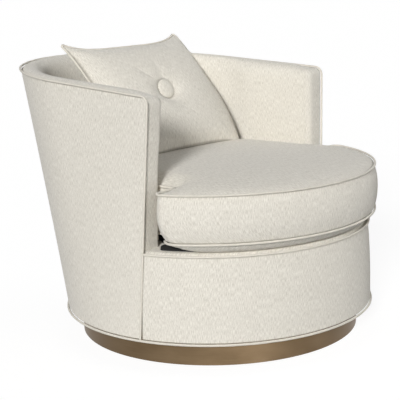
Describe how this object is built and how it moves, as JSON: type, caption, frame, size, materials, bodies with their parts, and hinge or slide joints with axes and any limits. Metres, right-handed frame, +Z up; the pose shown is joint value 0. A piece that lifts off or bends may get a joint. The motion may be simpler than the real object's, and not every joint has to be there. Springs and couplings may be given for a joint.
{
  "type": "swivel chair",
  "caption": "Round barrel swivel chair with an upholstered shell, a loose T-shaped seat cushion, a throw pillow and a recessed round plinth.",
  "frame": {"origin": "centre of the plinth's floor ring, at floor level on the swivel axis", "axes": "+Z up along the swivel axis, -Y towards the front of the seat, +X towards the sitter's left arm"},
  "size_m": [0.8487, 1.02, 0.7713],
  "materials": {
    "upholstery": "woven linen blend",
    "welt": "self-covered piping",
    "bronze": "satin bronze",
    "frame_wood": "unfinished",
    "felt_pad": "felt",
    "black_steel": "powder coat",
    "bright_steel": "polished",
    "zinc_steel": "zinc plated",
    "lining": "plain",
    "webbing": "elastic webbing",
    "foam": "foam with wadding",
    "filling": "fibre filling",
    "zip_tape": "woven tape"
  },
  "bodies": {
    "base": {"floor_pad_ring": "felt_pad", "plinth_bottom_ring": "frame_wood", "plinth_wall": "frame_wood", "plinth_band": "bronze", "plinth_blocks": "frame_wood", "plinth_top_board": "frame_wood", "plinth_screws": "zinc_steel", "swivel_lower_plate": "black_steel", "swivel_balls": "bright_steel", "swivel_lower_bolts": "zinc_steel"},
    "chair": {"swivel_upper_plate": "black_steel", "swivel_pivot": "zinc_steel", "swivel_upper_bolts": "zinc_steel", "seat_base_board": "frame_wood", "dust_cover": "lining", "lower_rail": "frame_wood", "deck_ring_posts": "frame_wood", "deck_ring": "frame_wood", "webbing_lengthways": "webbing", "webbing_crossways": "webbing", "deck_pad": "upholstery", "left_arm_post": "frame_wood", "right_arm_post": "frame_wood", "back_posts": "frame_wood", "top_rail": "frame_wood", "outer_back_board": "frame_wood", "apron_board": "frame_wood", "inside_pad": "upholstery", "outside_cover": "upholstery", "apron_cover": "upholstery", "rim_top_panel": "upholstery", "left_arm_front": "upholstery", "right_arm_front": "upholstery", "rim_welt": "welt", "apron_welt": "welt", "hem_welt": "welt"},
    "cushion": {"cushion_cover": "upholstery", "cushion_core": "foam", "cushion_top_welt": "welt", "cushion_bottom_welt": "welt", "cushion_zip": "zip_tape"},
    "pillow": {"pillow_cover": "upholstery", "pillow_fill": "filling", "pillow_welt": "welt", "pillow_front_button": "upholstery", "pillow_back_button": "upholstery", "pillow_cord": "lining"}
  },
  "joints": [
    {"name": "swivel", "type": "hinge", "parent": "base", "child": "chair", "pos_m": [0, 0, 0.08], "axis": [0, 0, 1], "continuous": true},
    {"name": "cushion_lift", "type": "slide", "parent": "chair", "child": "cushion", "axis": [0, 0, 1], "range_m": [0, 0.45]},
    {"name": "pillow_lift", "type": "slide", "parent": "cushion", "child": "pillow", "axis": [0, 0, 1], "range_m": [0, 0.35]}
  ]
}
